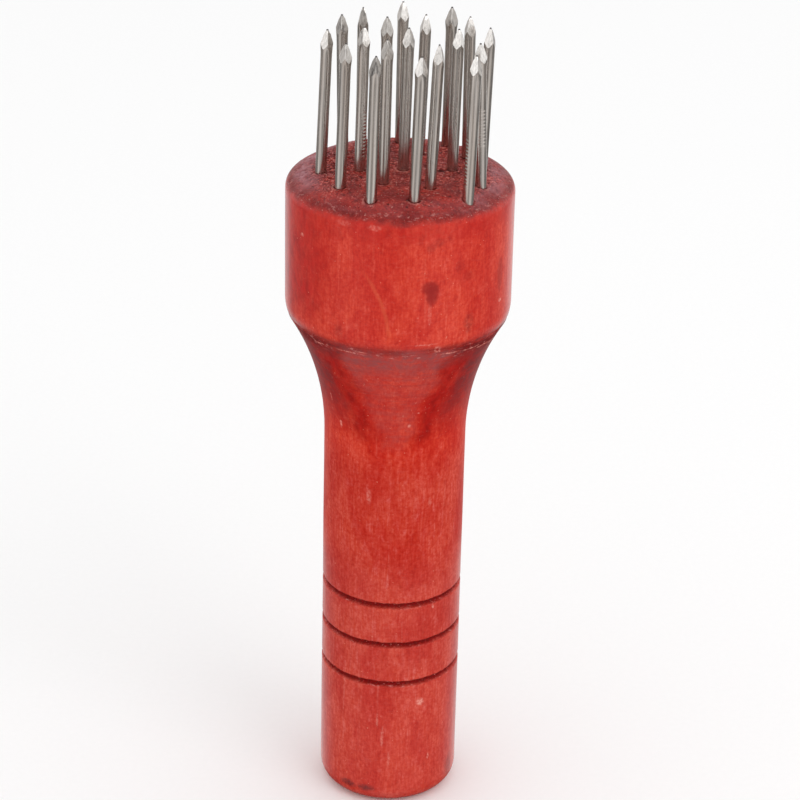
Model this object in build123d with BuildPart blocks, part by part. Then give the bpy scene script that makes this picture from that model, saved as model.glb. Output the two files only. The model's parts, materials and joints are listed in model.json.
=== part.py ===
from build123d import *

import os
from math import radians, sqrt, tan

# Uncapping fork for honeycomb: a turned wooden handle with straight steel needles set in its head.
# The origin is the centre of the flat butt, and +Z runs up the handle to the needle points.

# Handle, a solid of revolution
grip_radius = 14.35
butt_round = 4.0
neck_start = 82.0
ledge_height = 108.5
ledge_radius = 21.95
shoulder_height = 111.7
head_radius = 22.5
top_height = 138.5

# Crown of the end grain: flat in the middle, then an arc that falls to a soft rim
crown_flat_radius = 14.2
crown_drop = 3.0
rim_round = 2.4

# Burnt V grooves round the grip
groove_count = 3
first_groove_height = 29.8
groove_pitch = 9.25
groove_half_width = 0.7
groove_depth = 0.75

# Needles: headless wire nails, all of one length, each in a blind hole
needle_radius = 1.1
needle_length = 45.0
exposed_length = 28.8
hole_depth = needle_length - exposed_length
point_half_angle = 16.0
point_blunt_width = 0.24

# The holes lie in five rows, drilled by hand, so no two of them are quite alike. The rows run from the
# front to the back and each row from left to right, and each hole says: how far right of the axis it
# is, how far behind the axis, how many degrees its needle leans right, how many degrees it leans back,
# and how far a facet of its point is turned to the right of the front.
needle_rows = [
    [
        (-5.5, -16.75, 1.0, -0.5, 45),
        (2.75, -16.5, 1.5, -1.5, -35),
        (13.0, -14.25, 1.5, 1.5, -30),
    ],
    [
        (-11.5, -11.0, 1.5, 0.0, 42),
        (-3.25, -8.75, 0.5, 0.5, 45),
        (5.75, -10.75, 2.0, 0.0, -10),
        (15.5, -8.0, -2.0, -0.5, 40),
    ],
    [
        (-15.5, -3.25, 2.0, 0.5, -35),
        (-8.0, -2.0, 1.0, 1.5, 30),
        (0.5, -1.25, 1.0, 0.0, -30),
        (10.0, -0.75, 1.0, -1.0, -20),
        (15.75, 0.0, 1.5, 0.5, -15),
    ],
    [
        (-11.5, 6.25, -1.0, -0.5, 40),
        (-3.25, 4.75, 0.0, 1.0, 45),
        (3.5, 7.5, 1.5, -0.5, 15),
        (13.0, 6.25, -0.5, 0.5, 15),
    ],
    [
        (-8.0, 11.25, 0.0, -1.0, 0),
        (-0.25, 14.25, 0.0, 1.5, 25),
        (9.0, 12.75, 0.5, -0.5, 45),
    ],
]


def crown_height(distance):
    """Height of the end grain at a distance from the axis."""
    crown_width = head_radius - crown_flat_radius
    arc_radius = (crown_width**2 + crown_drop**2) / (2 * crown_drop)
    beyond_flat = max(distance - crown_flat_radius, 0)
    return top_height - arc_radius + sqrt(arc_radius**2 - beyond_flat**2)


def hole_plane(right, back, lean_right, lean_back):
    """Plane on the end grain at one hole, with its normal along the leaning needle."""
    rise_right = tan(radians(lean_right))
    rise_back = tan(radians(lean_back))
    return Plane(
        origin=(right, back, crown_height(sqrt(right**2 + back**2))),
        x_dir=(1, 0, -rise_right),
        z_dir=(rise_right, rise_back, 1),
    )


holes = []
for row in needle_rows:
    for right, back, lean_right, lean_back, facet_turn in row:
        holes.append((hole_plane(right, back, lean_right, lean_back), facet_turn))

# The handle: half of its section, turned about Z
rim_height = top_height - crown_drop
with BuildPart() as handle:
    with BuildSketch(Plane.XZ) as section:
        with BuildLine():
            Line((0, 0), (grip_radius, 0))
            Line((grip_radius, 0), (grip_radius, neck_start))
            TangentArc((grip_radius, neck_start), (ledge_radius, ledge_height), tangent=(0, 1))
            TangentArc(
                (head_radius, shoulder_height), (ledge_radius, ledge_height), tangent=(0, -1)
            )
            Line((head_radius, shoulder_height), (head_radius, rim_height))
            TangentArc(
                (crown_flat_radius, top_height), (head_radius, rim_height), tangent=(1, 0)
            )
            Line((crown_flat_radius, top_height), (0, top_height))
            Line((0, top_height), (0, 0))
        make_face()
        butt_corner = section.vertices().sort_by_distance((grip_radius, 0, 0))[0]
        fillet(butt_corner, radius=butt_round)
        rim_corner = section.vertices().sort_by_distance((head_radius, rim_height, 0))[0]
        fillet(rim_corner, radius=rim_round)
    revolve(axis=Axis.Z)

    for number in range(groove_count):
        groove_height = first_groove_height + number * groove_pitch
        with BuildSketch(Plane.XZ):
            with BuildLine():
                Polyline(
                    (grip_radius + groove_depth, groove_height - 2 * groove_half_width),
                    (grip_radius - groove_depth, groove_height),
                    (grip_radius + groove_depth, groove_height + 2 * groove_half_width),
                    close=True,
                )
            make_face()
        revolve(axis=Axis.Z, mode=Mode.SUBTRACT)

    # Blind holes, drilled from above the end grain
    for hole_mouth, facet_turn in holes:
        with BuildSketch(hole_mouth.offset(-hole_depth)):
            Circle(needle_radius)
        extrude(amount=needle_length, mode=Mode.SUBTRACT)

handle.part.label = "handle"

# The needles: each is a round wire cut down by a slim four-sided pyramid, which leaves the facets of
# its diamond point
pyramid_base_width = point_blunt_width + 2 * needle_length * tan(radians(point_half_angle))
needles = []
for number, (hole_mouth, facet_turn) in enumerate(holes, start=1):
    foot_plane = hole_mouth.offset(-hole_depth)
    with BuildPart() as needle:
        with BuildSketch(foot_plane):
            Circle(needle_radius)
        extrude(amount=needle_length)
        with BuildSketch(foot_plane):
            Rectangle(pyramid_base_width, pyramid_base_width, rotation=facet_turn)
        extrude(amount=needle_length, taper=point_half_angle, mode=Mode.INTERSECT)
    needle.part.label = f"needle_{number:02d}"
    needles.append(needle.part)

os.makedirs("parts", exist_ok=True)
export_step(handle.part, "parts/handle.step")
for needle_part in needles:
    export_step(needle_part, f"parts/{needle_part.label}.step")
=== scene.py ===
import json
import math
import random

import bmesh
import bpy
from mathutils import Matrix, Vector, noise
from mathutils.geometry import delaunay_2d_cdt


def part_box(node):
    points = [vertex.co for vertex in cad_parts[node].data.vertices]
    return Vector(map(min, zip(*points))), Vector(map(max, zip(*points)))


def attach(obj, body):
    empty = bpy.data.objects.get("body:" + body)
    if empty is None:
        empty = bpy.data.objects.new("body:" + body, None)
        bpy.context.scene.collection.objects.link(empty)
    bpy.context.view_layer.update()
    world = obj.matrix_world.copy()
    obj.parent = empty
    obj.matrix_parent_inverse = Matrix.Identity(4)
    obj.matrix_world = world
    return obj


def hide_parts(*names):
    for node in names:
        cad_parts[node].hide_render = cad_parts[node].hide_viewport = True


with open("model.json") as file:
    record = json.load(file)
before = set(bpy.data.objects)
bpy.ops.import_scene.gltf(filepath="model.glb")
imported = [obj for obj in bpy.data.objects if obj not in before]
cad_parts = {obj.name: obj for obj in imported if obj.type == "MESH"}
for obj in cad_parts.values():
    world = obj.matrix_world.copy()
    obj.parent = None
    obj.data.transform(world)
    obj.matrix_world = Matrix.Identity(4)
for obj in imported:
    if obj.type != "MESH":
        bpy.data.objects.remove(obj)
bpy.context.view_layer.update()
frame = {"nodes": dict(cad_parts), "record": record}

# Uncapping fork: a turned, dyed and lacquered wooden handle with nineteen wire nails in its end
# grain. Lengths are in millimetres. Points read from the frame, meshes once made, lights and the
# camera are in metres.
MM = 0.001
handle_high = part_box("handle")[1]
mounts = {mount["name"]: mount for mount in frame["record"]["mounts"]}

# The handle's section, as the CAD model has it
head_radius = handle_high.x / MM
top_height = handle_high.z / MM
grip_radius = mounts["grip_end"]["dims"]["r_mm"]
butt_round = 4.0
neck_start = 82.0
ledge_height = 108.5
ledge_radius = 21.95
shoulder_height = 111.7
crown_flat_radius = 14.2
crown_drop = 3.0
rim_round = 2.4
groove_heights = [29.8, 39.05, 48.3]
groove_half_width = 0.7
groove_depth = 0.75
# The line under the head runs a little above the ledge's corner
ledge_line = ledge_height + 0.35
# Where the dark end grain stops at the side of the head
lip_height = 136.3
# A small pit in the end grain, across and back
pit_place = (7.8, -1.2)
needle_radius = 1.1

# How finely the handle is meshed
SIDE_SEGMENTS = 288
GRAIN_STEP = 0.31
HOLE_RADIUS = 1.13
HOLE_SEGMENTS = 24
# The most that the head's side may stand out
HEAD_SWELL = 0.03


def smooth(value, low, high):
    """0 below low, 1 above high, and a smooth step between them."""
    t = min(max((value - low) / (high - low), 0.0), 1.0)
    return t * t * (3 - 2 * t)


def bell(value, width):
    """1 at zero, falling smoothly to nothing over a few widths."""
    return math.exp(-((value / width) ** 2))


def rough(x, y, z, scale, seed=0.0):
    """Smooth noise from about -1 to 1, with features about 1 / scale millimetres across."""
    return noise.noise(Vector((x * scale + seed, y * scale - seed, z * scale + 2 * seed)))


def arc_radius(across, along):
    """Radius of an arc that starts along a line and has moved this far across and along it."""
    return (across**2 + along**2) / (2 * across)


cove_radius = arc_radius(ledge_radius - grip_radius, ledge_height - neck_start)
shoulder_radius = arc_radius(head_radius - ledge_radius, shoulder_height - ledge_height)
crown_radius = arc_radius(crown_drop, head_radius - crown_flat_radius)


def side_radius(height):
    """The handle's radius at a height, from the butt to the rim."""
    if height < butt_round:
        return grip_radius - butt_round + math.sqrt(butt_round**2 - (butt_round - height) ** 2)
    if height > ledge_height:
        return head_radius
    above_neck = max(height - neck_start, 0.0)
    return grip_radius + cove_radius - math.sqrt(cove_radius**2 - above_neck**2)


# ---- needles, read from the frame


class Needle:
    """Where one needle is: its foot, its length, and the directions of its axis and of one facet."""

    def __init__(self, name):
        points = [vertex.co.copy() for vertex in frame["nodes"][name].data.vertices]
        low = min(point.z for point in points)
        high = max(point.z for point in points)
        foot_points = [point for point in points if point.z < low + 0.1 * MM]
        tip_points = [point for point in points if point.z > high - 0.02 * MM]
        self.name = name
        self.foot = box_centre(foot_points)
        self.tip = box_centre(tip_points)
        self.axis = (self.tip - self.foot).normalized()
        self.length = (self.tip - self.foot).length / MM
        corner = max(tip_points, key=lambda point: (point - self.tip).length) - self.tip
        corner = (corner - corner.project(self.axis)).normalized()
        self.facet = Matrix.Rotation(math.radians(45), 3, self.axis) @ corner
        self.blunt = max((point - self.tip).length for point in tip_points) * math.sqrt(0.5) / MM

    def matrix(self):
        """From the needle's own frame, with Z along it and X across a facet, to the row frame."""
        side = self.axis.cross(self.facet)
        turn = Matrix((self.facet, side, self.axis)).transposed().to_4x4()
        return Matrix.Translation(self.foot) @ turn


def box_centre(points):
    """Centre of the box round some points."""
    low = Vector([min(point[i] for point in points) for i in range(3)])
    high = Vector([max(point[i] for point in points) for i in range(3)])
    return (low + high) / 2


needles = [Needle(name) for name in sorted(frame["nodes"]) if name.startswith("needle")]


def crown_height(distance):
    """Height of the end grain at a distance from the handle's axis."""
    beyond_flat = max(distance - crown_flat_radius, 0)
    return top_height - crown_radius + math.sqrt(crown_radius**2 - beyond_flat**2)


def mouth(needle):
    """Where a needle's axis leaves the wood, across and back."""
    point = needle.foot.copy()
    for _ in range(4):
        height = crown_height(math.hypot(point.x, point.y) / MM) * MM
        point = needle.foot + needle.axis * ((height - needle.foot.z) / needle.axis.z)
    return point.x / MM, point.y / MM


needle_mouths = [mouth(needle) for needle in needles]

# ---- the handle's section


def line(start, end, step):
    """Points from start, left out, to end, about a step apart."""
    count = max(1, round(math.dist(start, end) / step))
    shares = [i / count for i in range(1, count + 1)]
    return [
        (start[0] + (end[0] - start[0]) * share, start[1] + (end[1] - start[1]) * share)
        for share in shares
    ]


def arc(centre, radius, from_angle, to_angle, step):
    """Points of an arc in degrees, with the first left out, about a step apart."""
    sweep = math.radians(to_angle - from_angle)
    count = max(1, round(abs(sweep) * radius / step))
    angles = [math.radians(from_angle) + sweep * i / count for i in range(1, count + 1)]
    return [(centre[0] + radius * math.cos(a), centre[1] + radius * math.sin(a)) for a in angles]


def section():
    """The handle's outline as (radius, height), from the middle of the butt to the crown's rim."""
    points = line((0, 0), (grip_radius - butt_round, 0), 1.2)
    points += arc((grip_radius - butt_round, butt_round), butt_round, -90, 0, 0.5)
    reach = 1.6 * groove_half_width
    for groove in groove_heights:
        points += line(points[-1], (grip_radius, groove - reach), 0.9)
        points += line(points[-1], (grip_radius, groove + reach), 0.12)
    points += line(points[-1], (grip_radius, neck_start), 1.0)

    cove_end = 180 - math.degrees(math.asin((ledge_height - neck_start) / cove_radius))
    near_ledge = cove_end + math.degrees(1.2 / cove_radius)
    cove_centre = (grip_radius + cove_radius, neck_start)
    points += arc(cove_centre, cove_radius, 180, near_ledge, 0.6)
    points += arc(cove_centre, cove_radius, near_ledge, cove_end, 0.1)

    shoulder_start = -math.degrees(math.asin((shoulder_height - ledge_height) / shoulder_radius))
    past_ledge = shoulder_start + math.degrees(0.8 / shoulder_radius)
    shoulder_centre = (head_radius - shoulder_radius, shoulder_height)
    points += arc(shoulder_centre, shoulder_radius, shoulder_start, past_ledge, 0.1)
    points += arc(shoulder_centre, shoulder_radius, past_ledge, 0, 0.35)

    points += line(points[-1], (head_radius, rim_centre[1]), 0.65)
    points += arc(rim_centre, rim_round, 0, rim_angle, 0.25)
    return points


def rim_arc():
    """Centre of the arc that rounds the head's rim, and the angle where it meets the crown."""
    across = head_radius - rim_round - crown_flat_radius
    up = math.sqrt((crown_radius - rim_round) ** 2 - across**2)
    centre = (head_radius - rim_round, top_height - crown_radius + up)
    return centre, math.degrees(math.atan2(up, across))


rim_centre, rim_angle = rim_arc()

# ---- relief and stains of the wood


def groove_relief(x, y, height):
    """How deep a groove cuts here, from 0 to 1, with ragged lips."""
    ragged = 0.16 * rough(x, y, height, 1.3, 3) + 0.16 * rough(x, y, height, 3.1, 5)
    depth = 0.0
    for groove in groove_heights:
        away = abs(height - groove + 0.1 * rough(x, y, 0, 0.5, groove)) / groove_half_width
        depth = max(depth, 1 - smooth(away + ragged, 0.25, 1.25))
    return depth


def ledge_relief(x, y, height):
    """The crisp line under the head, from 0 to 1."""
    wander = 0.12 * rough(x, y, height, 0.7, 11) + 0.1 * rough(x, y, height, 2.3, 13)
    away = height - ledge_line + wander
    return bell(away, 0.27) * (0.75 + 0.5 * rough(x, y, height, 0.35, 17))


def side_offset(x, y, height):
    """How far the turned side stands out from its true section."""
    turned = 0.05 * rough(x, y, height, 0.05, 1) + 0.012 * rough(x, y, 0.15 * height, 0.9, 2)
    lacquer = 0.006 * rough(x, y, height, 0.8, 4)
    cut = groove_relief(x, y, height) * groove_depth * (0.95 + 0.25 * rough(x, y, height, 1.7, 7))
    nick = 0.18 * ledge_relief(x, y, height)
    return turned + lacquer - cut - nick


def wrinkles(x, y):
    """Where the end grain is torn in short, curved creases, from 0 to 1: most of them at the left."""
    distance = math.hypot(x, y)
    torn = smooth(-x, 5.0, 12.0) * smooth(y, -10.0, -3.0)
    torn = max(torn, 0.7 * smooth(y, 2.0, 9.0)) * (1 - smooth(distance, 20.6, 21.8))
    bend = rough(0.55 * x, 1.35 * y, 0, 1.0, 31) + 0.35 * rough(x, y, 0, 1.3, 35)
    broken = smooth(rough(x, y, 0, 0.5, 37), -0.5, -0.1)
    return torn * broken * (1 - smooth(abs(bend), 0.03, 0.14))


def top_offset(x, y):
    """How far the end grain stands up from its true section."""
    distance = math.hypot(x, y)
    inside = 1 - smooth(distance, 19.6, 21.0)
    pores = 0.07 * rough(x, y, 0, 1.6, 21) + 0.05 * rough(x, y, 0, 3.0, 23)
    pits = 0.22 * smooth(rough(x, y, 0, 1.1, 25), 0.38, 0.62)
    crumbs = 0.16 * smooth(rough(x, y, 0, 1.45, 27), 0.46, 0.66)
    swell = 0.10 * rough(x, y, 0, 0.22, 29)
    creases = 0.22 * wrinkles(x, y)
    lip = 0.0
    for across, back in needle_mouths:
        gap = math.hypot(x - across, y - back) - needle_radius
        if gap < 1.5:
            torn = 0.75 + 0.8 * rough(x, y, 0, 1.2, 33)
            lip += 0.16 * bell(gap - 0.35, 0.3) * torn - 0.1 * bell(gap, 0.18)
    pit = 0.55 * bell(math.hypot((x - pit_place[0]) * 0.75, y - pit_place[1]), 0.55)
    return inside * (pores - pits + crumbs + swell - creases + lip - pit)


def up_cove(height):
    """0 near the foot of the cove, rising to 1 near its top."""
    return smooth(height, neck_start + 4, ledge_height - 4.5)


def past_shade_streak(x, y, height, front_turn):
    """Degrees outwards from the middle of the painted shade streak that runs down each flank of the
    cove.
    """
    return front_turn - 24 - 17 * up_cove(height) + 7 * rough(x, y, height, 0.3, 61)


def shade_and_dark_band(x, y, height, beyond):
    """Painted shade on the flanks of the cove and on the head's left side, and a darker band high on
    the head under the rim.
    """
    streak = bell(beyond, 9 + 3 * up_cove(height)) * smooth(height, neck_start + 1.5, neck_start + 6)
    outer = 0.95 * smooth(beyond, -4, 4) * smooth(height, neck_start + 2, neck_start + 15)
    cove = max(streak, outer) * (1 - smooth(height, ledge_height - 2, ledge_height + 0.5))
    below_lip = lip_height - height - 1.5 * rough(x, y, 0, 0.2, 63)
    high = 0.5 * (1 - smooth(below_lip, 2.8, 6.3))
    left = 0.85 * smooth(-x, 12.0, 18.0) * smooth(height, ledge_height + 1.5, ledge_height + 7.5)
    return max(cove, high, left) * (0.95 + 0.5 * rough(x, y, height, 0.35, 65))


def stains(x, y, height):
    """What is painted on the handle's mesh at a point of its surface, as shares from 0 to 1."""
    distance = math.hypot(x, y)
    front_turn = abs(math.degrees(math.atan2(x, -y)) + 1)
    frayed = 0.45 * rough(x, y, height, 0.7, 51) + 0.35 * rough(x, y, height, 1.9, 53)
    on_top = smooth(height + frayed, lip_height - 1.6, lip_height + 0.2)
    in_groove = groove_relief(x, y, height)
    burn_and_shade = 0.95 * in_groove

    # Soot and painted shade along the ledge, thicker and lower on the flanks, a scorched line round
    # the rim, and painted shade in the end grain's creases and along the nick under the head
    flank = smooth(abs(x), 9.0, 18.0)
    above = height - ledge_line + 0.5 * rough(x, y, height, 0.3, 41)
    above += (0.3 + 0.3 * flank) * rough(x, y, height, 1.3, 44)
    soot_and_shade = bell(above + 1.5 * flank, 0.95 + 0.5 * flank)
    soot_and_shade *= 0.5 + 0.4 * flank + 0.4 * rough(x, y, height, 0.25, 42)
    rim_line = bell(height - lip_height + 0.6 * rough(x, y, 0, 0.2, 43), 0.7)
    rim_line *= 0.42 + 0.4 * rough(x, y, 0, 0.3, 45) + 0.25 * rough(x, y, 0, 1.2, 46)
    # Painted shade in the creases of the torn end grain
    torn = 0.6 * wrinkles(x, y) * on_top
    burn_and_shade = max(burn_and_shade, soot_and_shade, rim_line, torn, 0.35 * ledge_relief(x, y, height))

    # Painted reflection in the top of the cove, down its middle and on its flanks, and on the crown
    # by the rim
    low = ledge_height - height
    beyond = past_shade_streak(x, y, height, front_turn)
    middle = 1 - smooth(beyond, -16, -6)
    painted_reflection = (1 - smooth(low, 1.5, 6.5 + 7 * middle)) * smooth(low, -1.4 - 0.8 * flank, 0.2)
    painted_reflection *= 0.92 + 0.5 * rough(x, y, height, 0.22, 47)
    painted_reflection = max(painted_reflection, 0.42 * middle * smooth(height, neck_start + 0.5, neck_start + 4.5) * (low > 0))
    painted_reflection = max(painted_reflection, 1.2 * smooth(beyond, 3, 14) * (1 - smooth(low, 3.0, 25.0)) * (low > 0))
    rim_side = 0.15 + 0.5 * smooth(x, 8.0, 16.0) + smooth(-x, 6.0, 14.0) * smooth(y, -12.0, -6.0)
    crown_reflection = bell(distance - 19.4, 2.4) * on_top * rim_side
    painted_reflection = max(painted_reflection, crown_reflection * (0.75 + 0.8 * rough(x, y, 0, 0.25, 49)))
    painted_reflection = max(painted_reflection, 0.2 * bell(distance - 20.9, 0.6) * on_top * smooth(-y, 13.0, 18.0))

    # Chipped lacquer under the ledge and on the lips of the grooves and the crown, and lacquer
    # worn thin from the grip up to the ledge
    fringe = bell(low - 1.1 + 0.9 * rough(x, y, 0, 0.3, 55), 0.9)
    fringe *= smooth(rough(x, y, 0, 0.22, 56) + 0.3 * flank, -0.25, 0.25)
    fringe = max(fringe, 0.7 * bell(in_groove - 0.4, 0.25))
    fringe = max(fringe, 0.9 * bell(height - lip_height - 0.1 + 0.8 * rough(x, y, 0, 0.3, 58), 0.6))
    worn = 0.3 * smooth(height, 10.0, 30.0) + 0.7 * smooth(height, 50.0, 66.0)
    worn *= smooth(low, -0.8, 0.8)

    # Painted light and shade from the end grain's own relief, and end grain that is torn, mostly at
    # the sides and the back
    relief_shading = 0.5 + (top_offset(x, y) / 0.55 if on_top > 0 else 0.0)
    crumbly = 0.30 + 0.42 * smooth(y, -13.0, -6.0) + 0.4 * smooth(abs(x), 9.0, 15.0)
    crumbly *= (1 + 0.5 * rough(x, y, 0, 0.3, 57)) * (1 - 0.75 * smooth(distance, 17.5, 20.5))
    shares = {
        "burn_and_shade": burn_and_shade, "painted_reflection": painted_reflection, "middle": middle, "shade_and_band": shade_and_dark_band(x, y, height, beyond),
        "end_grain": on_top, "fringe": fringe, "relief_shading": relief_shading, "crumbly": crumbly, "worn": worn,
    }
    return {name: min(max(share, 0.0), 1.0) for name, share in shares.items()}


# ---- the handle's mesh


def grain_points():
    """A fine, slightly uneven triangular field over the crown, clear of the rim and the holes."""
    rng = random.Random(5)
    limit = rim_centre[0] + rim_round * math.cos(math.radians(rim_angle)) - 0.6 * GRAIN_STEP
    row_step = GRAIN_STEP * math.sqrt(3) / 2
    rows = int(limit / row_step) + 1
    points = []
    for row in range(-rows, rows + 1):
        for column in range(-rows, rows + 1):
            x = (column + 0.5 * (row % 2)) * GRAIN_STEP + rng.uniform(-1, 1) * 0.18 * GRAIN_STEP
            y = row * row_step + rng.uniform(-1, 1) * 0.18 * GRAIN_STEP
            if math.hypot(x, y) > limit:
                continue
            gaps = [math.hypot(x - across, y - back) for across, back in needle_mouths]
            if min(gaps) > HOLE_RADIUS + 0.5 * GRAIN_STEP:
                points.append((x, y))
    return points


def circle(across, back, radius, segments):
    """Points round a circle, anticlockwise, as (x, y)."""
    angles = [2 * math.pi * step / segments for step in range(segments)]
    return [(across + radius * math.cos(a), back + radius * math.sin(a)) for a in angles]


def neighbours(ring):
    """Each member of a closed ring with the one after it."""
    return list(zip(ring, ring[1:] + ring[:1]))


def band(lower, upper):
    """The faces between two rings."""
    return [(a, b, d, c) for (a, b), (c, d) in zip(neighbours(lower), neighbours(upper))]


def turned_side(vertices):
    """Adds the rings of vertices up the turned side, and returns their numbers."""
    outline = section()
    rings = []
    for index, (radius, height) in enumerate(outline):
        before = outline[max(index - 1, 0)]
        after = outline[min(index + 1, len(outline) - 1)]
        slope = math.atan2(after[0] - before[0], after[1] - before[1])
        # The butt's edge stays true, and the head keeps to its width
        settle = smooth(height, 0.0, 2.0)
        rings.append(list(range(len(vertices), len(vertices) + SIDE_SEGMENTS)))
        for x, y in circle(0.0, 0.0, radius, SIDE_SEGMENTS):
            out = side_offset(x, y, height) * settle
            if radius > head_radius - 0.5:
                out = min(out, HEAD_SWELL)
            wider = 1 + out * math.cos(slope) / radius
            vertices.append((x * wider, y * wider, height - out * math.sin(slope)))
    return rings


def crown_field(vertices, rim_ring):
    """Adds the crown between the rim and the holes, and returns its faces and the holes' rims."""
    flat = [Vector(vertices[number][:2]) for number in rim_ring]
    edges = neighbours(list(range(SIDE_SEGMENTS)))
    flat_rims = []
    for across, back in needle_mouths:
        flat_rims.append(list(range(len(flat), len(flat) + HOLE_SEGMENTS)))
        edges += neighbours(flat_rims[-1])
        flat += [Vector(point) for point in circle(across, back, HOLE_RADIUS, HOLE_SEGMENTS)]
    flat += [Vector(point) for point in grain_points()]
    made, _, triangles, origins, _, _ = delaunay_2d_cdt(flat, edges, [], 1, 1e-5)
    numbers = []
    placed = {}
    for point, sources in zip(made, origins):
        if sources and sources[0] < SIDE_SEGMENTS:
            numbers.append(rim_ring[sources[0]])
            continue
        numbers.append(len(vertices))
        vertices.append((point.x, point.y, crown_height(point.length) + top_offset(*point)))
        if sources:
            placed[sources[0]] = numbers[-1]
    faces = []
    for triangle in triangles:
        x = sum(made[i].x for i in triangle) / 3
        y = sum(made[i].y for i in triangle) / 3
        gaps = [math.hypot(x - across, y - back) for across, back in needle_mouths]
        if min(gaps) > HOLE_RADIUS:
            faces.append(tuple(numbers[i] for i in triangle))
    return faces, [[placed[i] for i in rim] for rim in flat_rims]


def make_handle():
    """The whole turned handle as one closed mesh, with a blind hole for each needle."""
    vertices = [(0.0, 0.0, 0.0)]
    rings = turned_side(vertices)
    faces = [(0, following, number) for number, following in neighbours(rings[0])]
    for lower, upper in zip(rings, rings[1:]):
        faces += band(lower, upper)
    crown_faces, hole_rims = crown_field(vertices, rings[-1])
    faces += crown_faces
    for needle, rim in zip(needles, hole_rims):
        foot = needle.foot / MM
        bottom = list(range(len(vertices), len(vertices) + HOLE_SEGMENTS))
        vertices += [(x, y, foot.z) for x, y in circle(foot.x, foot.y, HOLE_RADIUS, HOLE_SEGMENTS)]
        faces += band(rim, bottom)
        faces.append(tuple(bottom))

    mesh = bpy.data.meshes.new("turned_handle")
    mesh.from_pydata([Vector(vertex) * MM for vertex in vertices], [], faces)
    mesh.update()
    painted = [stains(*vertex) for vertex in vertices]
    for name in painted[0]:
        attribute = mesh.attributes.new(name, "FLOAT", "POINT")
        attribute.data.foreach_set("value", [shares[name] for shares in painted])
    mesh.shade_smooth()
    return add_object("turned_handle", mesh)


def add_object(name, mesh):
    """A mesh as an object of the scene."""
    piece = bpy.data.objects.new(name, mesh)
    bpy.context.scene.collection.objects.link(piece)
    return piece


# ---- the needles' meshes

NEEDLE_SEGMENTS = 40
# A facet is cut in two slopes, so that the point's outline is a little rounded
FACET_LENGTH = 3.75
TIP_LENGTH = 1.0
TIP_HALF_ANGLE = 20.0
CAP_LENGTH = 0.2
RIDGE_WIDTH = 0.07
# Degrees across an edge, above which it is a ridge between facets, and above which it looks sharp
RIDGE_ANGLE = 40.0
SHARP_ANGLE = 24.0
# Corners that the cuts leave closer together than this are joined
WELD_DISTANCE = 0.002
# The cutting jaws squeeze the wire out a little where two facets meet
EAR_BELOW_TIP = 2.9
# How uneven the drawn wire's radius is
WIRE_UNEVENNESS = 0.012
# Notches that the nail machine's jaws leave on one side of the wire. They end at the first of these
# cosines of the angle round the wire, and have their full depth from the second.
MARK_PITCH = 0.70
MARK_DEPTH = 0.035
MARK_SPREAD = (0.7, 0.9)
STEPS_PER_MARK = 6
# Above this distance from the tip the rings lie close together, for the point to be cut from
POINT_REACH = 6.5
POINT_RINGS = 18


def needle_rings(length, marks_from, mark_count):
    """Heights of the rings along a needle, close together at the jaw marks and the point."""
    heights = [0.0, 4.0, 8.0, 12.0, marks_from - 1.0]
    for step in range(mark_count * STEPS_PER_MARK + 1):
        heights.append(marks_from + step * MARK_PITCH / STEPS_PER_MARK)
    last = heights[-1]
    point_start = length - POINT_REACH
    plain = max(2, round((point_start - last) / 2.5))
    heights += [last + (point_start - last) * i / plain for i in range(1, plain + 1)]
    heights += [point_start + POINT_REACH * i / POINT_RINGS for i in range(1, POINT_RINGS + 1)]
    return heights


def make_needle(number, needle, ear_height, mark_turn, marks_above, mark_count, painted_shine):
    """One wire nail: a drawn shank with jaw marks and a four-sided diamond point."""
    length = needle.length
    top = crown_height(math.hypot(*mouth(needle)))
    hole_depth = (top * MM - needle.foot.z) / needle.axis.z / MM
    marks_from = hole_depth + marks_above
    built = bmesh.new()
    rings = []
    for height in needle_rings(length, marks_from, mark_count):
        ring = []
        for segment in range(NEEDLE_SEGMENTS):
            angle = 2 * math.pi * segment / NEEDLE_SEGMENTS
            across = math.cos(angle)
            back = math.sin(angle)
            ridge = max(0.0, -math.cos(4 * angle)) ** 2
            radius = needle_radius + ear_height * ridge * ear_share(length - height)
            radius += WIRE_UNEVENNESS * noise.noise(Vector((3 * across, 3 * back, number)))
            turned = math.cos(angle - math.radians(mark_turn))
            along = (height - marks_from) / MARK_PITCH
            if 0 < along < mark_count:
                tooth = 0.5 - 0.5 * math.cos(2 * math.pi * along)
                radius -= MARK_DEPTH * tooth * smooth(turned, *MARK_SPREAD)
            ring.append(built.verts.new((radius * across, radius * back, height)))
        rings.append(ring)
    for lower, upper in zip(rings, rings[1:]):
        for corners in band(lower, upper):
            built.faces.new(corners)
    built.faces.new(reversed(rings[0]))
    built.faces.new(rings[-1])
    cut_point(built, length, needle.blunt, painted_shine)
    for face in built.faces:
        face.smooth = True
    for edge in built.edges:
        kinds = {face.material_index for face in edge.link_faces}
        sharp = edge.is_manifold and edge.calc_face_angle(0) > math.radians(SHARP_ANGLE)
        edge.smooth = len(kinds) == 1 and not sharp
    mesh = bpy.data.meshes.new(needle.name + "_wire")
    built.to_mesh(mesh)
    built.free()
    mesh.transform(Matrix.Scale(MM, 4))
    mesh.transform(needle.matrix())
    return add_object(needle.name + "_wire", mesh)


def ear_share(below_tip):
    """How much of the ears' height a ring has: all of it at the point, and less and less below."""
    if below_tip < EAR_BELOW_TIP:
        return 1.0
    return bell(below_tip - EAR_BELOW_TIP, 1.3)


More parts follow.
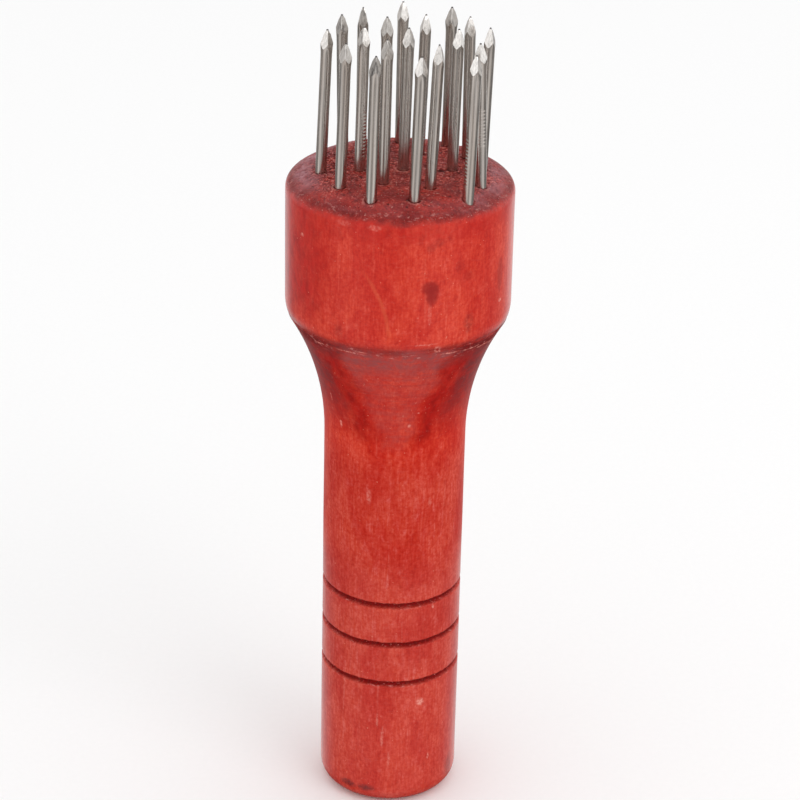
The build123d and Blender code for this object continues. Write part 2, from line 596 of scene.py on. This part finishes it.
def cut_point(built, length, blunt, painted_shine):
    """Cuts the four facets, each of two slopes and of its own painted shine, and marks them as cut
    faces.
    """
    shine = built.faces.layers.float.new("painted_shine")
    tip_angle = math.radians(TIP_HALF_ANGLE)
    lower_rise = needle_radius - (blunt + TIP_LENGTH * math.tan(tip_angle))
    lower_angle = math.atan2(lower_rise, FACET_LENGTH - TIP_LENGTH)
    for quarter in range(4):
        turn = Matrix.Rotation(math.radians(90 * quarter), 3, "Z")
        for angle, distance, height in (
            (lower_angle, needle_radius, length - FACET_LENGTH),
            (tip_angle, blunt, length),
        ):
            cut = bmesh.ops.bisect_plane(
                built,
                geom=built.verts[:] + built.edges[:] + built.faces[:],
                plane_co=turn @ Vector((distance, 0, height)),
                plane_no=turn @ Vector((math.cos(angle), 0, math.sin(angle))),
                clear_outer=True,
            )
            edges = [item for item in cut["geom_cut"] if isinstance(item, bmesh.types.BMEdge)]
            for face in bmesh.ops.edgeloop_fill(built, edges=edges)["faces"]:
                face.material_index = 1
                face[shine] = painted_shine[quarter]
    bmesh.ops.bisect_plane(
        built,
        geom=built.verts[:] + built.edges[:] + built.faces[:],
        plane_co=Vector((0, 0, length - CAP_LENGTH)),
        plane_no=Vector((0, 0, 1)),
    )
    # The cap at the point is painted dark: painted shade
    for face in built.faces:
        if face.calc_center_median().z > length - CAP_LENGTH:
            face.material_index = 1
            face[shine] = 0.0
    ridges = [
        edge
        for edge in built.edges
        if all(face.material_index == 1 and face[shine] > 0 for face in edge.link_faces)
        and edge.calc_face_angle(0) > math.radians(RIDGE_ANGLE)
    ]
    bevelled = bmesh.ops.bevel(
        built, geom=ridges, offset=RIDGE_WIDTH, segments=1, affect="EDGES", material=1
    )
    # The bevelled ridges are painted bright: a painted highlight along each ridge
    for face in bevelled["faces"]:
        face[shine] = 1.0
    bmesh.ops.remove_doubles(built, verts=built.verts[:], dist=WELD_DISTANCE)
    bmesh.ops.dissolve_degenerate(built, dist=WELD_DISTANCE, edges=built.edges[:])


# ---- materials

# How far a mark on the side reaches into the wood
SPOT_DEPTH = 2.0


class Nodes:
    """A node tree, built one node at a time."""

    def __init__(self, tree):
        self.tree = tree

    def node(self, kind, **inputs):
        """A shader node, with inputs given by name as a number, a colour or a node's output."""
        made = self.tree.nodes.new("ShaderNode" + kind)
        for name, value in inputs.items():
            self.put(made.inputs[name.replace("_", " ")], value)
        return made

    def put(self, socket, value):
        """A value or another node's output into a socket."""
        if isinstance(value, bpy.types.NodeSocket):
            self.tree.links.new(value, socket)
        elif isinstance(value, tuple) and len(value) == 3 and socket.type == "RGBA":
            socket.default_value = (*value, 1)
        else:
            socket.default_value = value

    def span(self, value, low, high, to_low=0.0, to_high=1.0):
        """Value carried smoothly from one range to another."""
        made = self.node(
            "MapRange", Value=value, From_Min=low, From_Max=high, To_Min=to_low, To_Max=to_high
        )
        made.interpolation_type = "SMOOTHSTEP"
        return made.outputs["Result"]

    def math(self, operation, *values, kind="Math"):
        """One sum on numbers, or on vectors where the kind is VectorMath."""
        made = self.node(kind)
        made.operation = operation
        for socket, value in zip(made.inputs, values):
            self.put(socket, value)
        return made.outputs[0]

    def product(self, first, *others):
        """Several values multiplied together."""
        for other in others:
            first = self.math("MULTIPLY", first, other)
        return first

    def mix(self, share, first, second):
        """First colour where share is 0, second where it is 1."""
        made = self.node("Mix")
        made.data_type = "RGBA"
        self.put(made.inputs[0], share)
        self.put(made.inputs[6], first)
        self.put(made.inputs[7], second)
        return made.outputs[2]


class Paint(Nodes):
    """A material's nodes."""

    def __init__(self, name):
        self.material = bpy.data.materials.new(name)
        self.material.use_nodes = True
        super().__init__(self.material.node_tree)
        self.shader = next(n for n in self.tree.nodes if n.type == "BSDF_PRINCIPLED")

    def millimetres(self, across=1.0, back=1.0, up=1.0):
        """Object coordinates in millimetres, stretched where a share is under 1."""
        place = self.node("TexCoord").outputs["Object"]
        return self.math("MULTIPLY", place, (across / MM, back / MM, up / MM), kind="VectorMath")

    def noise(self, place, scale, detail=2.0, roughness=0.5, distortion=0.0):
        """A noise value from 0 to 1."""
        kind = {"Detail": detail, "Roughness": roughness, "Distortion": distortion}
        return self.node("TexNoise", Vector=place, Scale=scale, **kind).outputs["Fac"]

    def attribute(self, name):
        """A number painted on the mesh."""
        made = self.node("Attribute")
        made.attribute_name = name
        return made.outputs["Fac"]

    def bump(self, height, strength, distance, under=None):
        """A bump of a height in millimetres, on top of another one."""
        made = self.node("Bump", Height=height, Strength=strength, Distance=distance * MM)
        if under is not None:
            self.put(made.inputs["Normal"], under)
        return made.outputs["Normal"]

    def tint(self, colour, value, low, high, dark, light):
        """A colour times one factor per channel: dark where value is low, light where it is high."""
        factors = self.mix(self.span(value, low, high), dark, light)
        return self.math("MULTIPLY", colour, factors, kind="VectorMath")

    def warped(self, place, scale, reach):
        """A place in millimetres, pushed about so that what is drawn there has an uneven edge."""
        push = self.node("TexNoise", Vector=place, Scale=scale, Detail=2.0).outputs["Color"]
        push = self.math("SUBTRACT", push, (0.5, 0.5, 0.5), kind="VectorMath")
        return self.math("MULTIPLY_ADD", push, (reach, reach, reach), place, kind="VectorMath")

    def spot(self, place, turn, height, size, softness):
        """1 inside an egg-shaped spot on the handle's side, turn degrees from the front, else 0."""
        angle = math.radians(turn)
        radius = side_radius(height)
        centre = (radius * math.sin(angle), -radius * math.cos(angle), height)
        reach = (size[0], SPOT_DEPTH, size[1])
        local = self.node("Mapping", Location=centre, Rotation=(0, 0, angle), Scale=reach)
        local.vector_type = "TEXTURE"
        self.put(local.inputs["Vector"], place)
        length = self.node("VectorMath", Vector=local.outputs["Vector"])
        length.operation = "LENGTH"
        return self.span(length.outputs["Value"], 1 - softness, 1 + softness, 1.0, 0.0)

    def finish(self, **inputs):
        """Sets the shader's inputs by name."""
        for name, value in inputs.items():
            self.put(self.shader.inputs[name.replace("_", " ")], value)
        return self.material


# ---- the wood

# Colours of the wood, of what lies on it, and of the light and shade painted on it, as linear red,
# green and blue
DARK_DYE = (0.52, 0.0165, 0.0062)
LIGHT_DYE = (0.61, 0.0385, 0.0158)
DARK_MOTTLE = (0.43, 0.0085, 0.0022)
PALE_MOTTLE = (0.63, 0.058, 0.032)
PALE_STREAK = (0.67, 0.088, 0.048)
FLAME = (0.78, 0.14, 0.06)
TURNING_LINE = (0.30, 0.018, 0.016)
# Painted shade on the cove's flanks below the ledge; above it, painted shade on the head's left side
# and a darker band under the rim
SHADE_BELOW_LEDGE = (0.35, 0.004, 0.002)
SHADE_AND_BAND_ABOVE_LEDGE = (0.45, 0.006, 0.003)
DUST = (0.80, 0.26, 0.18)
END_GRAIN_DARK = (0.36, 0.020, 0.016)
END_GRAIN_LIGHT = (0.56, 0.036, 0.024)
OPEN_PORE = (0.13, 0.007, 0.006)
LOOSE_FIBRE = (0.68, 0.12, 0.09)
# Painted shade in the end grain's hollows and painted light on its rises
HOLLOW_SHADE = (0.07, 0.005, 0.005)
RISE_LIGHT = (0.80, 0.28, 0.23)
# Pale crumbs, partly painted glints
CRUMB_AND_GLINT = (0.85, 0.42, 0.35)
# Painted reflection in the lacquer: wine red on the cove's flanks, rose down its front, pale on the
# crown
WINE_REFLECTION = (0.185, 0.021, 0.022)
ROSE_REFLECTION = (0.30, 0.058, 0.057)
CROWN_REFLECTION = (0.62, 0.26, 0.29)
# Scorch and soot, with painted shade along the ledge, in the end grain's creases and along the nick
# under the head
SCORCH_AND_SHADE_DARK = (0.08, 0.002, 0.002)
SCORCH_AND_SHADE_RED = (0.27, 0.004, 0.004)
# Pale specks in the burnt places, partly painted glints
BURNT_CRUMB_AND_GLINT = (0.60, 0.17, 0.15)
CHIP = (0.75, 0.29, 0.26)
SOOT = (0.15, 0.010, 0.010)
# Bare wood where rubbed, and a painted highlight along the lip under the ledge
BARE_WOOD_AND_SHINE = (0.80, 0.30, 0.24)
KNOT = (0.27, 0.003, 0.0015)
NO_TINT = (1.0, 1.0, 1.0)

# Marks on the handle's side: degrees from the front to the right, height, half the mark's width and
# half its height, and how strong it is
KNOTS = [
    (16, 122.3, (1.7, 1.3), 0.7),
    (17, 121.2, (1.4, 1.8), 0.6),
    (17, 120.0, (1.0, 1.5), 0.6),
    (61, 121.0, (1.0, 3.2), 0.45),
    (21, 109.0, (0.35, 0.45), 0.8),
]
SMUDGES = [
    (2, 135.3, (2.2, 0.5), 0.5),
    (16, 130.5, (0.9, 0.9), 0.3),
    (20, 131.5, (1.0, 0.9), 0.3),
    (32, 126.0, (1.0, 1.2), 0.2),
    (37, 123.5, (1.4, 1.0), 0.2),
    (38, 113.5, (1.1, 2.0), 0.45),
    (-30, 112.0, (0.9, 1.5), 0.3),
    (-53, 107.6, (3.0, 1.2), 0.45),
    (49, 107.6, (2.6, 0.8), 0.8),
    (36, 108.2, (1.4, 0.5), 0.7),
    (-35, 4.0, (1.6, 0.8), 0.95),
    (-18, 4.0, (1.7, 0.7), 0.9),
    (64, 5.5, (1.5, 2.4), 0.5),
]
RUBBED_SPOTS_AND_LIP_SHINE = [
    (-12, 134.5, (1.2, 0.5), 0.3),
    (-28, 134.5, (1.4, 0.5), 0.2),
    (16, 117.0, (0.4, 2.2), 0.22),
    (-56, 129.0, (0.5, 0.3), 0.6),
    (62, 115.5, (0.5, 0.3), 0.9),
    (14, 110.4, (2.2, 0.12), 0.45),
    (21, 109.0, (0.65, 0.8), 0.5),
    # Pale lines along the lip under the ledge: partly chipped lacquer, partly a painted highlight on
    # the lip
    (29, 107.5, (1.8, 0.14), 0.7),
    (43, 107.2, (2.2, 0.14), 0.8),
    (54, 106.5, (2.0, 0.15), 0.85),
    (64, 106.0, (1.6, 0.15), 0.8),
    (-19, 108.0, (1.2, 0.15), 0.45),
    (-28, 107.5, (1.8, 0.14), 0.5),
    (-45, 107.3, (1.3, 0.2), 0.6),
    (-55, 93.0, (0.2, 0.8), 0.5),
    (17, 92.5, (0.2, 0.2), 0.9),
    (11, 89.5, (0.35, 0.35), 0.5),
    (-47, 87.5, (0.3, 0.7), 0.6),
    (-20, 73.0, (0.5, 1.4), 0.4),
    (31, 71.5, (0.4, 0.9), 0.25),
    (37, 47.0, (0.2, 0.5), 0.7),
    (27, 25.0, (0.8, 0.8), 0.85),
    (-9, 21.0, (0.25, 1.6), 0.35),
    (-5, 17.0, (0.25, 2.2), 0.4),
    (1, 11.5, (0.25, 1.6), 0.35),
    (36, 11.0, (0.2, 0.7), 0.6),
]


class WoodPaint(Paint):
    """Red-dyed, lacquered wood, painted layer by layer."""

    def __init__(self):
        super().__init__("dyed_lacquered_wood")
        self.plain = self.millimetres()
        self.height = self.node("SeparateXYZ", Vector=self.plain).outputs["Z"]
        self.mottle = self.noise(self.millimetres(up=0.6), 0.7, 4, 0.6)
        self.fine = self.noise(self.millimetres(up=0.12), 2.4, 4, 0.6, 0.5)
        self.speckle = self.noise(self.plain, 1.5, 3, 0.65)
        self.pores = self.noise(self.plain, 1.3, 5, 0.75)
        # Pale crumbs and specks, partly painted glints of the glossy coat
        self.crumbs = self.span(self.noise(self.plain, 2.4, 2, 0.6), 0.66, 0.71, 0, 0.85)
        self.char = self.noise(self.plain, 2.0, 4, 0.7)
        self.burn_and_shade = self.product(self.attribute("burn_and_shade"), self.span(self.char, 0.3, 0.55, 0.7, 1.1))
        self.end_grain = self.attribute("end_grain")
        self.worn = self.attribute("worn")

    def flame_line(self):
        """The share of one light, curved line of the grain that runs down the front of the head."""
        foot_across, foot_height, bend = -1.55, 111.0, -0.0245
        parts = self.node("SeparateXYZ", Vector=self.plain).outputs
        above = self.math("SUBTRACT", parts["Z"], foot_height)
        bent = self.product(self.math("POWER", above, 2.0), bend)
        across = self.math("SUBTRACT", self.math("SUBTRACT", parts["X"], foot_across), bent)
        wobble = self.product(self.noise(self.plain, 0.5, 2), 0.6)
        wobble = self.math("SUBTRACT", wobble, 0.3)
        across = self.math("ABSOLUTE", self.math("ADD", across, wobble))
        return self.product(
            self.span(across, 0.05, 0.65, 0.28, 0.0),
            self.span(parts["Z"], foot_height, foot_height + 2.5),
            self.span(parts["Z"], 127.0, 121.5),
            self.span(parts["Y"], 0.0, -5.0),
        )

    def dye(self):
        """Dye taken up unevenly: clouds, small mottles, and streaks along the grain."""
        clouds = self.noise(self.millimetres(up=0.5), 0.17, 4, 0.6, 0.4)
        streaks = self.noise(self.millimetres(up=0.055), 0.9, 4, 0.6, 0.2)
        colour = self.mix(self.span(clouds, 0.36, 0.64), DARK_DYE, LIGHT_DYE)
        colour = self.mix(self.span(self.mottle, 0.52, 0.72, 0, 0.5), colour, PALE_MOTTLE)
        colour = self.mix(self.span(self.mottle, 0.46, 0.28, 0, 0.5), colour, DARK_MOTTLE)
        colour = self.mix(self.span(streaks, 0.56, 0.76, 0, 0.38), colour, PALE_STREAK)
        colour = self.tint(colour, self.fine, 0.3, 0.7, (0.93, 0.67, 0.52), (1.07, 1.36, 1.62))
        colour = self.tint(colour, self.speckle, 0.32, 0.68, (0.92, 0.64, 0.57), (1.08, 1.40, 1.52))
        return self.mix(self.flame_line(), colour, FLAME)

    def handling(self, colour):
        """Turning lines in the cove, a paler grip, painted shade on the flanks and the head's left
        side with a darker band under the rim, specks of dust and fine scratches.
        """
        turning = self.noise(self.millimetres(0.06, 0.06, 1.2), 0.9, 2, 0.6)
        turning = self.product(self.worn, self.span(turning, 0.5, 0.7, 0, 0.45))
        turning = self.product(turning, self.span(self.height, neck_start + 8, neck_start + 15))
        colour = self.mix(turning, colour, TURNING_LINE)
        paler = self.span(self.height, neck_start + 8, neck_start - 10)
        paler = self.product(paler, self.span(self.height, 10.0, 45.0, 0.6, 1.0))
        colour = self.tint(colour, paler, 0, 1, NO_TINT, (0.92, 1.32, 1.75))
        # Painted shade, deeper red above the ledge, and the darker band under the rim
        above = self.span(self.height, ledge_height - 0.5, ledge_height + 3.5)
        shade_and_band = self.mix(above, SHADE_BELOW_LEDGE, SHADE_AND_BAND_ABOVE_LEDGE)
        shade_and_band = self.tint(shade_and_band, self.mottle, 0.3, 0.7, (0.8, 0.8, 0.8), (1.15, 1.6, 1.6))
        colour = self.mix(self.attribute("shade_and_band"), colour, shade_and_band)
        dust = self.span(self.noise(self.plain, 1.7, 1), 0.755, 0.80, 0, 0.5)
        slanted = self.warped(self.millimetres(1.7, 1.7, 0.45), 0.35, 3.0)
        strokes = self.span(self.noise(slanted, 1.3, 1), 0.735, 0.775, 0, 0.4)
        strokes = self.product(strokes, self.worn, self.span(self.height, neck_start, neck_start + 8))
        return self.mix(self.math("MAXIMUM", dust, strokes), colour, DUST)

    def torn_end_grain(self):
        """End grain, which soaks up more dye, with painted shade in its hollows and painted light on
        its raised fibres.
        """
        patches = self.noise(self.plain, 0.28, 3, 0.6)
        colour = self.mix(self.span(patches, 0.4, 0.62), END_GRAIN_DARK, END_GRAIN_LIGHT)
        colour = self.mix(self.span(self.pores, 0.46, 0.38, 0, 0.7), colour, OPEN_PORE)
        colour = self.mix(self.span(self.pores, 0.55, 0.63, 0, 0.4), colour, LOOSE_FIBRE)
        grit = self.math("SUBTRACT", self.noise(self.millimetres(back=0.85), 2.3, 2, 0.6), 0.5)
        grit = self.product(grit, self.attribute("crumbly"))
        colour = self.tint(colour, grit, -0.13, 0.0, (0.35, 0.25, 0.25), NO_TINT)
        colour = self.tint(colour, grit, 0.0, 0.13, NO_TINT, (1.55, 5.5, 6.5))
        relief_shading = self.attribute("relief_shading")
        # Painted shade in the hollows and painted light on the rises, read from the mesh's relief
        colour = self.mix(self.span(relief_shading, 0.42, 0.12, 0, 0.9), colour, HOLLOW_SHADE)
        colour = self.mix(self.span(relief_shading, 0.58, 0.82, 0, 0.6), colour, RISE_LIGHT)
        # Pale crumbs, partly painted glints
        return self.mix(self.crumbs, colour, CRUMB_AND_GLINT)

    def painted_reflection(self, colour):
        """Painted reflection: rose down the front of the cove, wine red on its flanks, pale on the
        crown.
        """
        reflection_colour = self.mix(self.attribute("middle"), WINE_REFLECTION, ROSE_REFLECTION)
        reflection_colour = self.mix(self.end_grain, reflection_colour, CROWN_REFLECTION)
        patchy = self.span(self.noise(self.plain, 0.8, 3), 0.35, 0.6, 0.6, 0.95)
        combed = self.noise(self.millimetres(0.08, 0.08, 1.2), 1.0, 3, 0.6)
        combed = self.span(combed, 0.35, 0.6, 0.7, 1.1)
        return self.mix(self.product(self.attribute("painted_reflection"), patchy, combed), colour, reflection_colour)

    def burns_and_shade(self, colour):
        """Scorched and sooty wood, painted shade along the ledge, in the end grain's creases and
        along the nick, and lacquer chipped off beside it.
        """
        scorch_and_shade_colour = self.mix(self.span(self.char, 0.35, 0.65), SCORCH_AND_SHADE_DARK, SCORCH_AND_SHADE_RED)
        scorch_and_shade_colour = self.mix(self.crumbs, scorch_and_shade_colour, BURNT_CRUMB_AND_GLINT)
        colour = self.mix(self.burn_and_shade, colour, scorch_and_shade_colour)
        flakes = self.noise(self.millimetres(0.5, 0.5, 1.3), 1.5, 4, 0.7)
        chips = self.product(self.span(flakes, 0.55, 0.66), self.attribute("fringe"), 0.75)
        return self.mix(chips, colour, CHIP)

    def marks(self, colour):
        """Single smudges, rubbed places, pale lines along the lip under the ledge, partly chipped
        lacquer and partly a painted highlight, and knots.
        """
        place = self.warped(self.plain, 1.3, 0.6)
        ragged = self.span(self.noise(self.plain, 2.0, 3, 0.6), 0.42, 0.58, 0.3, 1.0)
        sooty = self.span(self.char, 0.38, 0.58, 0.45, 1.0)
        for spots, softness, spot_colour, texture in (
            (SMUDGES, 0.6, SOOT, sooty),
            (RUBBED_SPOTS_AND_LIP_SHINE, 0.45, BARE_WOOD_AND_SHINE, ragged),
            (KNOTS, 0.36, KNOT, 1.0),
        ):
            for turn, height, size, strength in spots:
                share = self.spot(place, turn, height, size, softness)
                colour = self.mix(self.product(share, strength, texture), colour, spot_colour)
        return colour

    def reliefs(self):
        """Relief too fine for the mesh: open grain and crumbs, in the wood and in its coat."""
        gritty = self.product(self.span(self.pores, 0.3, 0.7), self.end_grain)
        wood = self.bump(self.fine, 0.25, 0.05)
        wood = self.bump(self.speckle, 0.3, 0.10, wood)
        wood = self.bump(gritty, 0.9, 0.35, wood)
        coat = self.bump(self.noise(self.plain, 0.9, 2), 0.3, 0.06)
        coat = self.bump(gritty, 0.7, 0.25, coat)
        return wood, coat


def dyed_wood():
    """The handle's material, duller on the end grain, in the burnt lines and the painted shade, and
    on the worn neck.
    """
    paint = WoodPaint()
    side = paint.handling(paint.dye())
    colour = paint.mix(paint.end_grain, side, paint.torn_end_grain())
    colour = paint.marks(paint.burns_and_shade(paint.painted_reflection(colour)))
    relief, coat_relief = paint.reliefs()
    dull = paint.math("MAXIMUM", paint.product(paint.end_grain, 0.55), paint.burn_and_shade)
    coat = paint.span(dull, 0, 1, 1.0, 0.1)
    coat = paint.product(coat, paint.span(paint.worn, 0, 1, 1.0, 0.08))
    return paint.finish(
        Base_Color=colour,
        Roughness=paint.span(dull, 0, 1, 0.5, 0.75),
        Specular_IOR_Level=0.06,
        Normal=relief,
        Coat_Weight=coat,
        Coat_IOR=1.3,
        Coat_Roughness=0.25,
        Coat_Normal=coat_relief,
    )


# ---- steel and floor


def drawn_wire():
    """Grey drawn steel with fine lines along the wire."""
    paint = Paint("drawn_wire")
    lines = paint.noise(paint.millimetres(up=0.015), 2.6, 3, 0.6)
    mottle = paint.noise(paint.millimetres(up=0.3), 1.2, 3, 0.6)
    tints = paint.noise(paint.millimetres(up=0.03), 1.1, 2, 0.5)
    colour = paint.mix(paint.span(lines, 0.3, 0.7), (0.44, 0.395, 0.36), (0.63, 0.575, 0.53))
    colour = paint.mix(paint.span(tints, 0.5, 0.66, 0, 0.45), colour, (0.49, 0.405, 0.35))
    colour = paint.mix(paint.span(mottle, 0.55, 0.8, 0, 0.35), colour, (0.38, 0.305, 0.26))
    return paint.finish(
        Base_Color=colour,
        Metallic=1.0,
        Roughness=paint.span(mottle, 0.3, 0.7, 0.17, 0.26),
        Normal=paint.bump(lines, 0.35, 0.05),
    )


def cut_steel():
    """Freshly cut facets, each painted brighter or darker as painted reflection, with faint lines
    from the cutter.
    """
    paint = Paint("cut_steel")
    lines = paint.noise(paint.millimetres(up=0.25), 3.2, 2, 0.5)
    hollow = paint.noise(paint.millimetres(), 0.45, 1)
    blotch = paint.noise(paint.millimetres(up=0.6), 1.1, 2)
    painted_shine = paint.attribute("painted_shine")
    painted_shine = paint.math("SUBTRACT", painted_shine, paint.span(blotch, 0.5, 0.72, 0, 0.22))
    # Painted reflection, from dark to near white by each facet's painted shine
    colour = paint.mix(paint.span(painted_shine, 0.0, 0.5), (0.10, 0.09, 0.085), (0.50, 0.465, 0.435))
    colour = paint.mix(paint.span(painted_shine, 0.4, 1.0), colour, (0.90, 0.865, 0.83))
    colour = paint.tint(colour, lines, 0.3, 0.7, (0.86, 0.86, 0.86), (1.08, 1.08, 1.08))
    return paint.finish(
        Base_Color=colour,
        Metallic=1.0,
        Roughness=paint.span(lines, 0.3, 0.7, 0.14, 0.24),
        Normal=paint.bump(lines, 0.12, 0.02, paint.bump(hollow, 0.5, 0.25)),
    )


def pale_floor():
    """Matt white paper."""
    paint = Paint("pale_floor")
    tooth = paint.noise(paint.millimetres(), 0.8, 3)
    colour = paint.mix(tooth, (0.92, 0.92, 0.92), (0.95, 0.95, 0.95))
    return paint.finish(Base_Color=colour, Roughness=0.9)


# ---- the pieces

wood = dyed_wood()
wire = drawn_wire()
bright = cut_steel()

handle = make_handle()
handle.data.materials.append(wood)
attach(handle, "root")
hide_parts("handle")

# Jaw marks: degrees from the front to the right, how far up from the wood, and how many
JAW_MARKS = {
    "needle_03": (-72, 3.0, 14),
    "needle_07": (10, 8.4, 11),
    "needle_09": (62, 3.0, 13),
    "needle_15": (85, 3.3, 12),
}

# How bright each needle's facet at the left of the front, and the one at its right, is painted:
# painted reflection
PAINTED_FACET_SHINE = [
    (0.28, 0.36), (0.85, 0.55), (1.0, 0.45), (0.50, 0.62), (0.50, 0.52), (0.85, 0.45),
    (0.95, 0.95), (0.85, 0.55), (0.38, 0.95), (0.75, 0.50), (0.95, 0.80), (0.90, 0.35),
    (0.32, 0.40), (0.58, 0.62), (0.48, 0.85), (0.45, 0.95), (0.70, 0.45), (0.50, 0.92),
    (0.42, 0.48),
]
wear = random.Random(19)


def painted_facet_shine(front_facets, front_turn):
    """The painted shine of a needle's four facets, with those at the back left to chance."""
    left, right = front_facets
    painted_shine = []
    for quarter in range(4):
        turn = (90 * quarter - front_turn + 180) % 360 - 180
        if abs(turn) >= 89:
            painted_shine.append(wear.uniform(0.4, 0.95))
        else:
            painted_shine.append(left if turn < -1 else right)
    return painted_shine


for number, needle in enumerate(needles):
    ear_height = wear.uniform(0.07, 0.16)
    unseen = (wear.uniform(150, 210), wear.uniform(3.0, 9.0), 13)
    turn, above, count = JAW_MARKS.get(needle.name, unseen)
    front = needle.matrix().to_3x3().inverted() @ Vector((0, -1, 0))
    front_turn = math.degrees(math.atan2(front.y, front.x))
    painted_shine = painted_facet_shine(PAINTED_FACET_SHINE[number], front_turn)
    piece = make_needle(number, needle, ear_height, front_turn + turn, above, count, painted_shine)
    piece.data.materials.append(wire)
    piece.data.materials.append(bright)
    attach(piece, "root")
    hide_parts(needle.name)

# ---- floor, light and camera

floor_half = 3.0
floor_mesh = bpy.data.meshes.new("floor")
corners = [(-1, -1), (1, -1), (1, 1), (-1, 1)]
floor_mesh.from_pydata([(x * floor_half, y * floor_half, 0) for x, y in corners], [], [(0, 1, 2, 3)])
floor = add_object("floor", floor_mesh)
floor.data.materials.append(pale_floor())
floor.visible_glossy = False


def key_light():
    """A large, soft light high up in front at the right, facing the middle of the tool."""
    data = bpy.data.lights.new("key", "AREA")
    data.shape = "SQUARE"
    data.size = 0.7
    data.energy = 2.5
    light = bpy.data.objects.new("key", data)
    light.location = (0.7, -0.7, 0.9)
    aim = Vector((0, 0, 0.09)) - light.location
    light.rotation_euler = aim.to_track_quat("-Z", "Y").to_euler()
    bpy.context.scene.collection.objects.link(light)


def both_sides(panels):
    """Panels given from the front round to the right, repeated round to the left."""
    return [(-turn, level) for turn, level in reversed(panels) if turn] + panels


# How bright the light tent is, by degrees round from the front to the right
FLOOR_PANELS = both_sides([(35, 0.9), (75, 0.1), (179, 0.15)])
TABLE_PANELS = both_sides([(40, 0.9), (95, 0.45), (130, 0.85), (179, 0.9)])
LOW_PANELS = [
    (-179, 0.9), (-154, 0.85), (-134, 0.25), (-105, 0.18), (-80, 0.18), (-55, 0.86), (-34, 0.86),
    (-12, 0.37), (6, 0.37), (28, 0.86), (50, 0.86), (78, 0.20), (105, 0.18), (132, 0.28),
    (154, 0.95), (179, 0.9),
]
HORIZON_PANELS = both_sides([(0, 0.8), (30, 1.0), (60, 1.05), (90, 0.85), (120, 0.95), (179, 0.8)])
SKY_PANELS = both_sides([(179, 1.0)])
# The bands from the floor up, each with the heights on a unit sphere between which it sets in
TENT_BANDS = [
    (FLOOR_PANELS, -1.0, -1.0),
    (TABLE_PANELS, -0.64, -0.56),
    (LOW_PANELS, -0.52, -0.47),
    (HORIZON_PANELS, -0.34, -0.16),
    (SKY_PANELS, 0.22, 0.35),
]


def tent_light():
    """A white light tent round the object, with darker gaps low down at its sides."""
    world = bpy.data.worlds.new("light_tent")
    world.use_nodes = True
    nodes = Nodes(world.node_tree)
    place = nodes.node("TexCoord").outputs["Generated"]
    direction = nodes.node("SeparateXYZ", Vector=place).outputs
    turn = nodes.math("ARCTAN2", direction["X"], nodes.product(direction["Y"], -1.0))
    share = nodes.math("ADD", nodes.product(turn, 0.5 / math.pi), 0.5)
    whole = None
    for panels, low, high in TENT_BANDS:
        ramp = nodes.node("ValToRGB", Fac=share)
        stops = ramp.color_ramp.elements
        ramp.color_ramp.interpolation = "EASE"
        for degrees, level in panels:
            stops.new((degrees + 180) / 360).color = (level, level, level, 1)
        stops.remove(stops[0])
        stops.remove(stops[-1])
        if whole is None:
            whole = ramp.outputs["Color"]
        else:
            rise = nodes.span(direction["Z"], low, high)
            whole = nodes.mix(rise, whole, ramp.outputs["Color"])
    nodes.put(nodes.tree.nodes["Background"].inputs["Color"], whole)
    bpy.context.scene.world = world


key_light()
tent_light()
bpy.context.scene.view_settings.view_transform = "Standard"

camera_elevation = math.radians(25.6)
camera_distance = 0.5785
camera_aim = Vector((0.0009, 0.0, 0.0882))
camera_roll = math.radians(1.35)
away = Vector((0, -math.cos(camera_elevation), math.sin(camera_elevation)))
camera_data = bpy.data.cameras.new("camera")
camera_data.sensor_width = 36.0
camera_data.lens = 128.6
camera = bpy.data.objects.new("camera", camera_data)
camera.location = camera_aim + away * camera_distance
facing = (-away).to_track_quat("-Z", "Y").to_matrix().to_4x4()
roll = Matrix.Rotation(camera_roll, 4, "Z")
camera.matrix_world = Matrix.Translation(camera.location) @ facing @ roll
camera_data.clip_start = 0.01
camera_data.clip_end = 20.0
bpy.context.scene.collection.objects.link(camera)
bpy.context.scene.camera = camera
